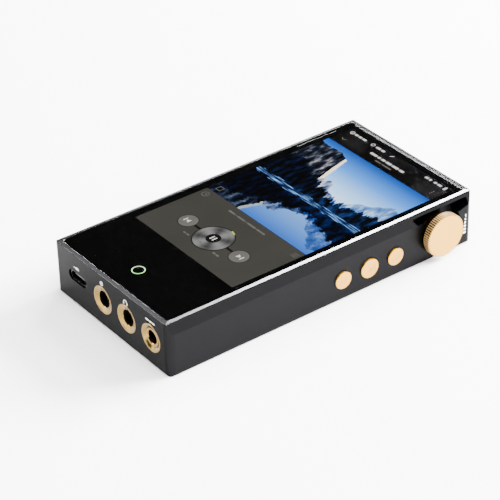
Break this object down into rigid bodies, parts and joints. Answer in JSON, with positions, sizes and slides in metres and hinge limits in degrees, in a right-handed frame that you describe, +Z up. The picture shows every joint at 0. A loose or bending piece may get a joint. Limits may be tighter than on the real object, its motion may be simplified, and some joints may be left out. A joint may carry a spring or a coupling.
{
  "type": "digital audio player",
  "caption": "Pocket music player in a dark metal case with a glass front, a knurled side volume knob, round side keys, and headphone, line and USB-C sockets on one end.",
  "frame": {"origin": "middle of the flat back face, which rests on the table", "axes": "+Z up through the screen, +X towards the side with the knob and keys, +Y towards the end without sockets"},
  "size_m": [0.0654, 0.121, 0.019],
  "materials": {
    "body_metal": "bead-blasted and anodised dark grey",
    "cover_metal": "bead-blasted and anodised dark grey",
    "cover_glass": "polished toughened glass",
    "border_ink": "black printed border",
    "touch_glass": "clear sensor glass",
    "panel_glass": "lit picture under polariser",
    "backlight_white": "white diffuser",
    "plate_steel": "plain pressed steel",
    "flex_film": "amber polyimide",
    "guide_plastic": "milky green light guide",
    "board_green": "green solder mask",
    "board_blue": "dark blue solder mask",
    "screw_steel": "bright machine screws",
    "cell_wrap": "foil pouch with dark wrap",
    "foam": "closed-cell foam",
    "plug_plastic": "ivory connector",
    "chip_black": "moulded chip",
    "shield_steel": "tinned steel can",
    "thermal_grey": "soft thermal pad",
    "antenna_copper": "flat copper strip",
    "capacitor_can": "gold-sleeved can",
    "socket_plastic": "black moulded socket",
    "ring_gold": "champagne gold anodised, turned",
    "contact_tin": "tinned contacts",
    "shell_steel": "drawn steel shell",
    "knob_gold": "champagne gold anodised, knurled",
    "shaft_steel": "ground steel",
    "encoder_case": "moulded encoder housing",
    "nut_brass": "plated brass",
    "key_gold": "champagne gold anodised",
    "mark_white": "white filled marks"
  },
  "bodies": {
    "body": {"frame": "body_metal", "front_glass": "cover_glass", "border_film": "border_ink", "touch_sensor": "touch_glass", "lcd_panel": "panel_glass", "backlight": "backlight_white", "screen_plate": "plate_steel", "screen_flex": "flex_film", "halo_guide": "guide_plastic", "halo_board": "board_green", "halo_led": "guide_plastic", "rear_cover": "cover_metal", "rear_screws": "screw_steel", "battery": "cell_wrap", "battery_pad": "foam", "battery_plug": "plug_plastic", "main_board": "board_green", "main_screws": "screw_steel", "processor": "chip_black", "processor_shield": "shield_steel", "thermal_pad": "thermal_grey", "memory_chips": "chip_black", "wireless_module": "shield_steel", "antenna_strip": "antenna_copper", "audio_board": "board_blue", "audio_screws": "screw_steel", "dac_chips": "chip_black", "amp_chips": "chip_black", "audio_capacitors": "capacitor_can", "clock_cans": "shield_steel", "link_flex": "flex_film", "usb_board": "board_green", "usb_shell": "shell_steel", "usb_tongue": "socket_plastic", "line_socket": "socket_plastic", "phones_socket": "socket_plastic", "balanced_socket": "socket_plastic", "line_ring": "ring_gold", "phones_ring": "ring_gold", "balanced_ring": "ring_gold", "balanced_sleeve": "ring_gold", "socket_pins": "contact_tin", "card_socket": "shell_steel", "encoder_body": "encoder_case", "encoder_nut": "nut_brass", "encoder_board": "board_green", "key_board": "board_green", "key_switches": "contact_tin", "key_screws": "screw_steel", "volume_marks": "mark_white", "socket_marks": "mark_white"},
    "knob_press": {"encoder_plunger": "encoder_case"},
    "volume_dial": {"volume_knob": "knob_gold", "encoder_shaft": "shaft_steel"},
    "previous_button": {"previous_key": "key_gold"},
    "play_button": {"play_key": "key_gold"},
    "next_button": {"next_key": "key_gold"}
  },
  "joints": [
    {"name": "volume_press", "type": "slide", "parent": "body", "child": "knob_press", "axis": [-1, 0, 0], "range_m": [0, 0.00035], "stiffness_N_per_m": 800, "springref_m": -0.0008},
    {"name": "volume_turn", "type": "hinge", "parent": "knob_press", "child": "volume_dial", "pos_m": [0.0324, 0.04615, 0.0092], "axis": [1, 0, 0], "continuous": true},
    {"name": "previous_press", "type": "slide", "parent": "body", "child": "previous_button", "axis": [-1, 0, 0], "range_m": [0, 0.0004], "stiffness_N_per_m": 500, "springref_m": -0.0008},
    {"name": "play_press", "type": "slide", "parent": "body", "child": "play_button", "axis": [-1, 0, 0], "range_m": [0, 0.0004], "stiffness_N_per_m": 500, "springref_m": -0.0008},
    {"name": "next_press", "type": "slide", "parent": "body", "child": "next_button", "axis": [-1, 0, 0], "range_m": [0, 0.0004], "stiffness_N_per_m": 500, "springref_m": -0.0008}
  ]
}
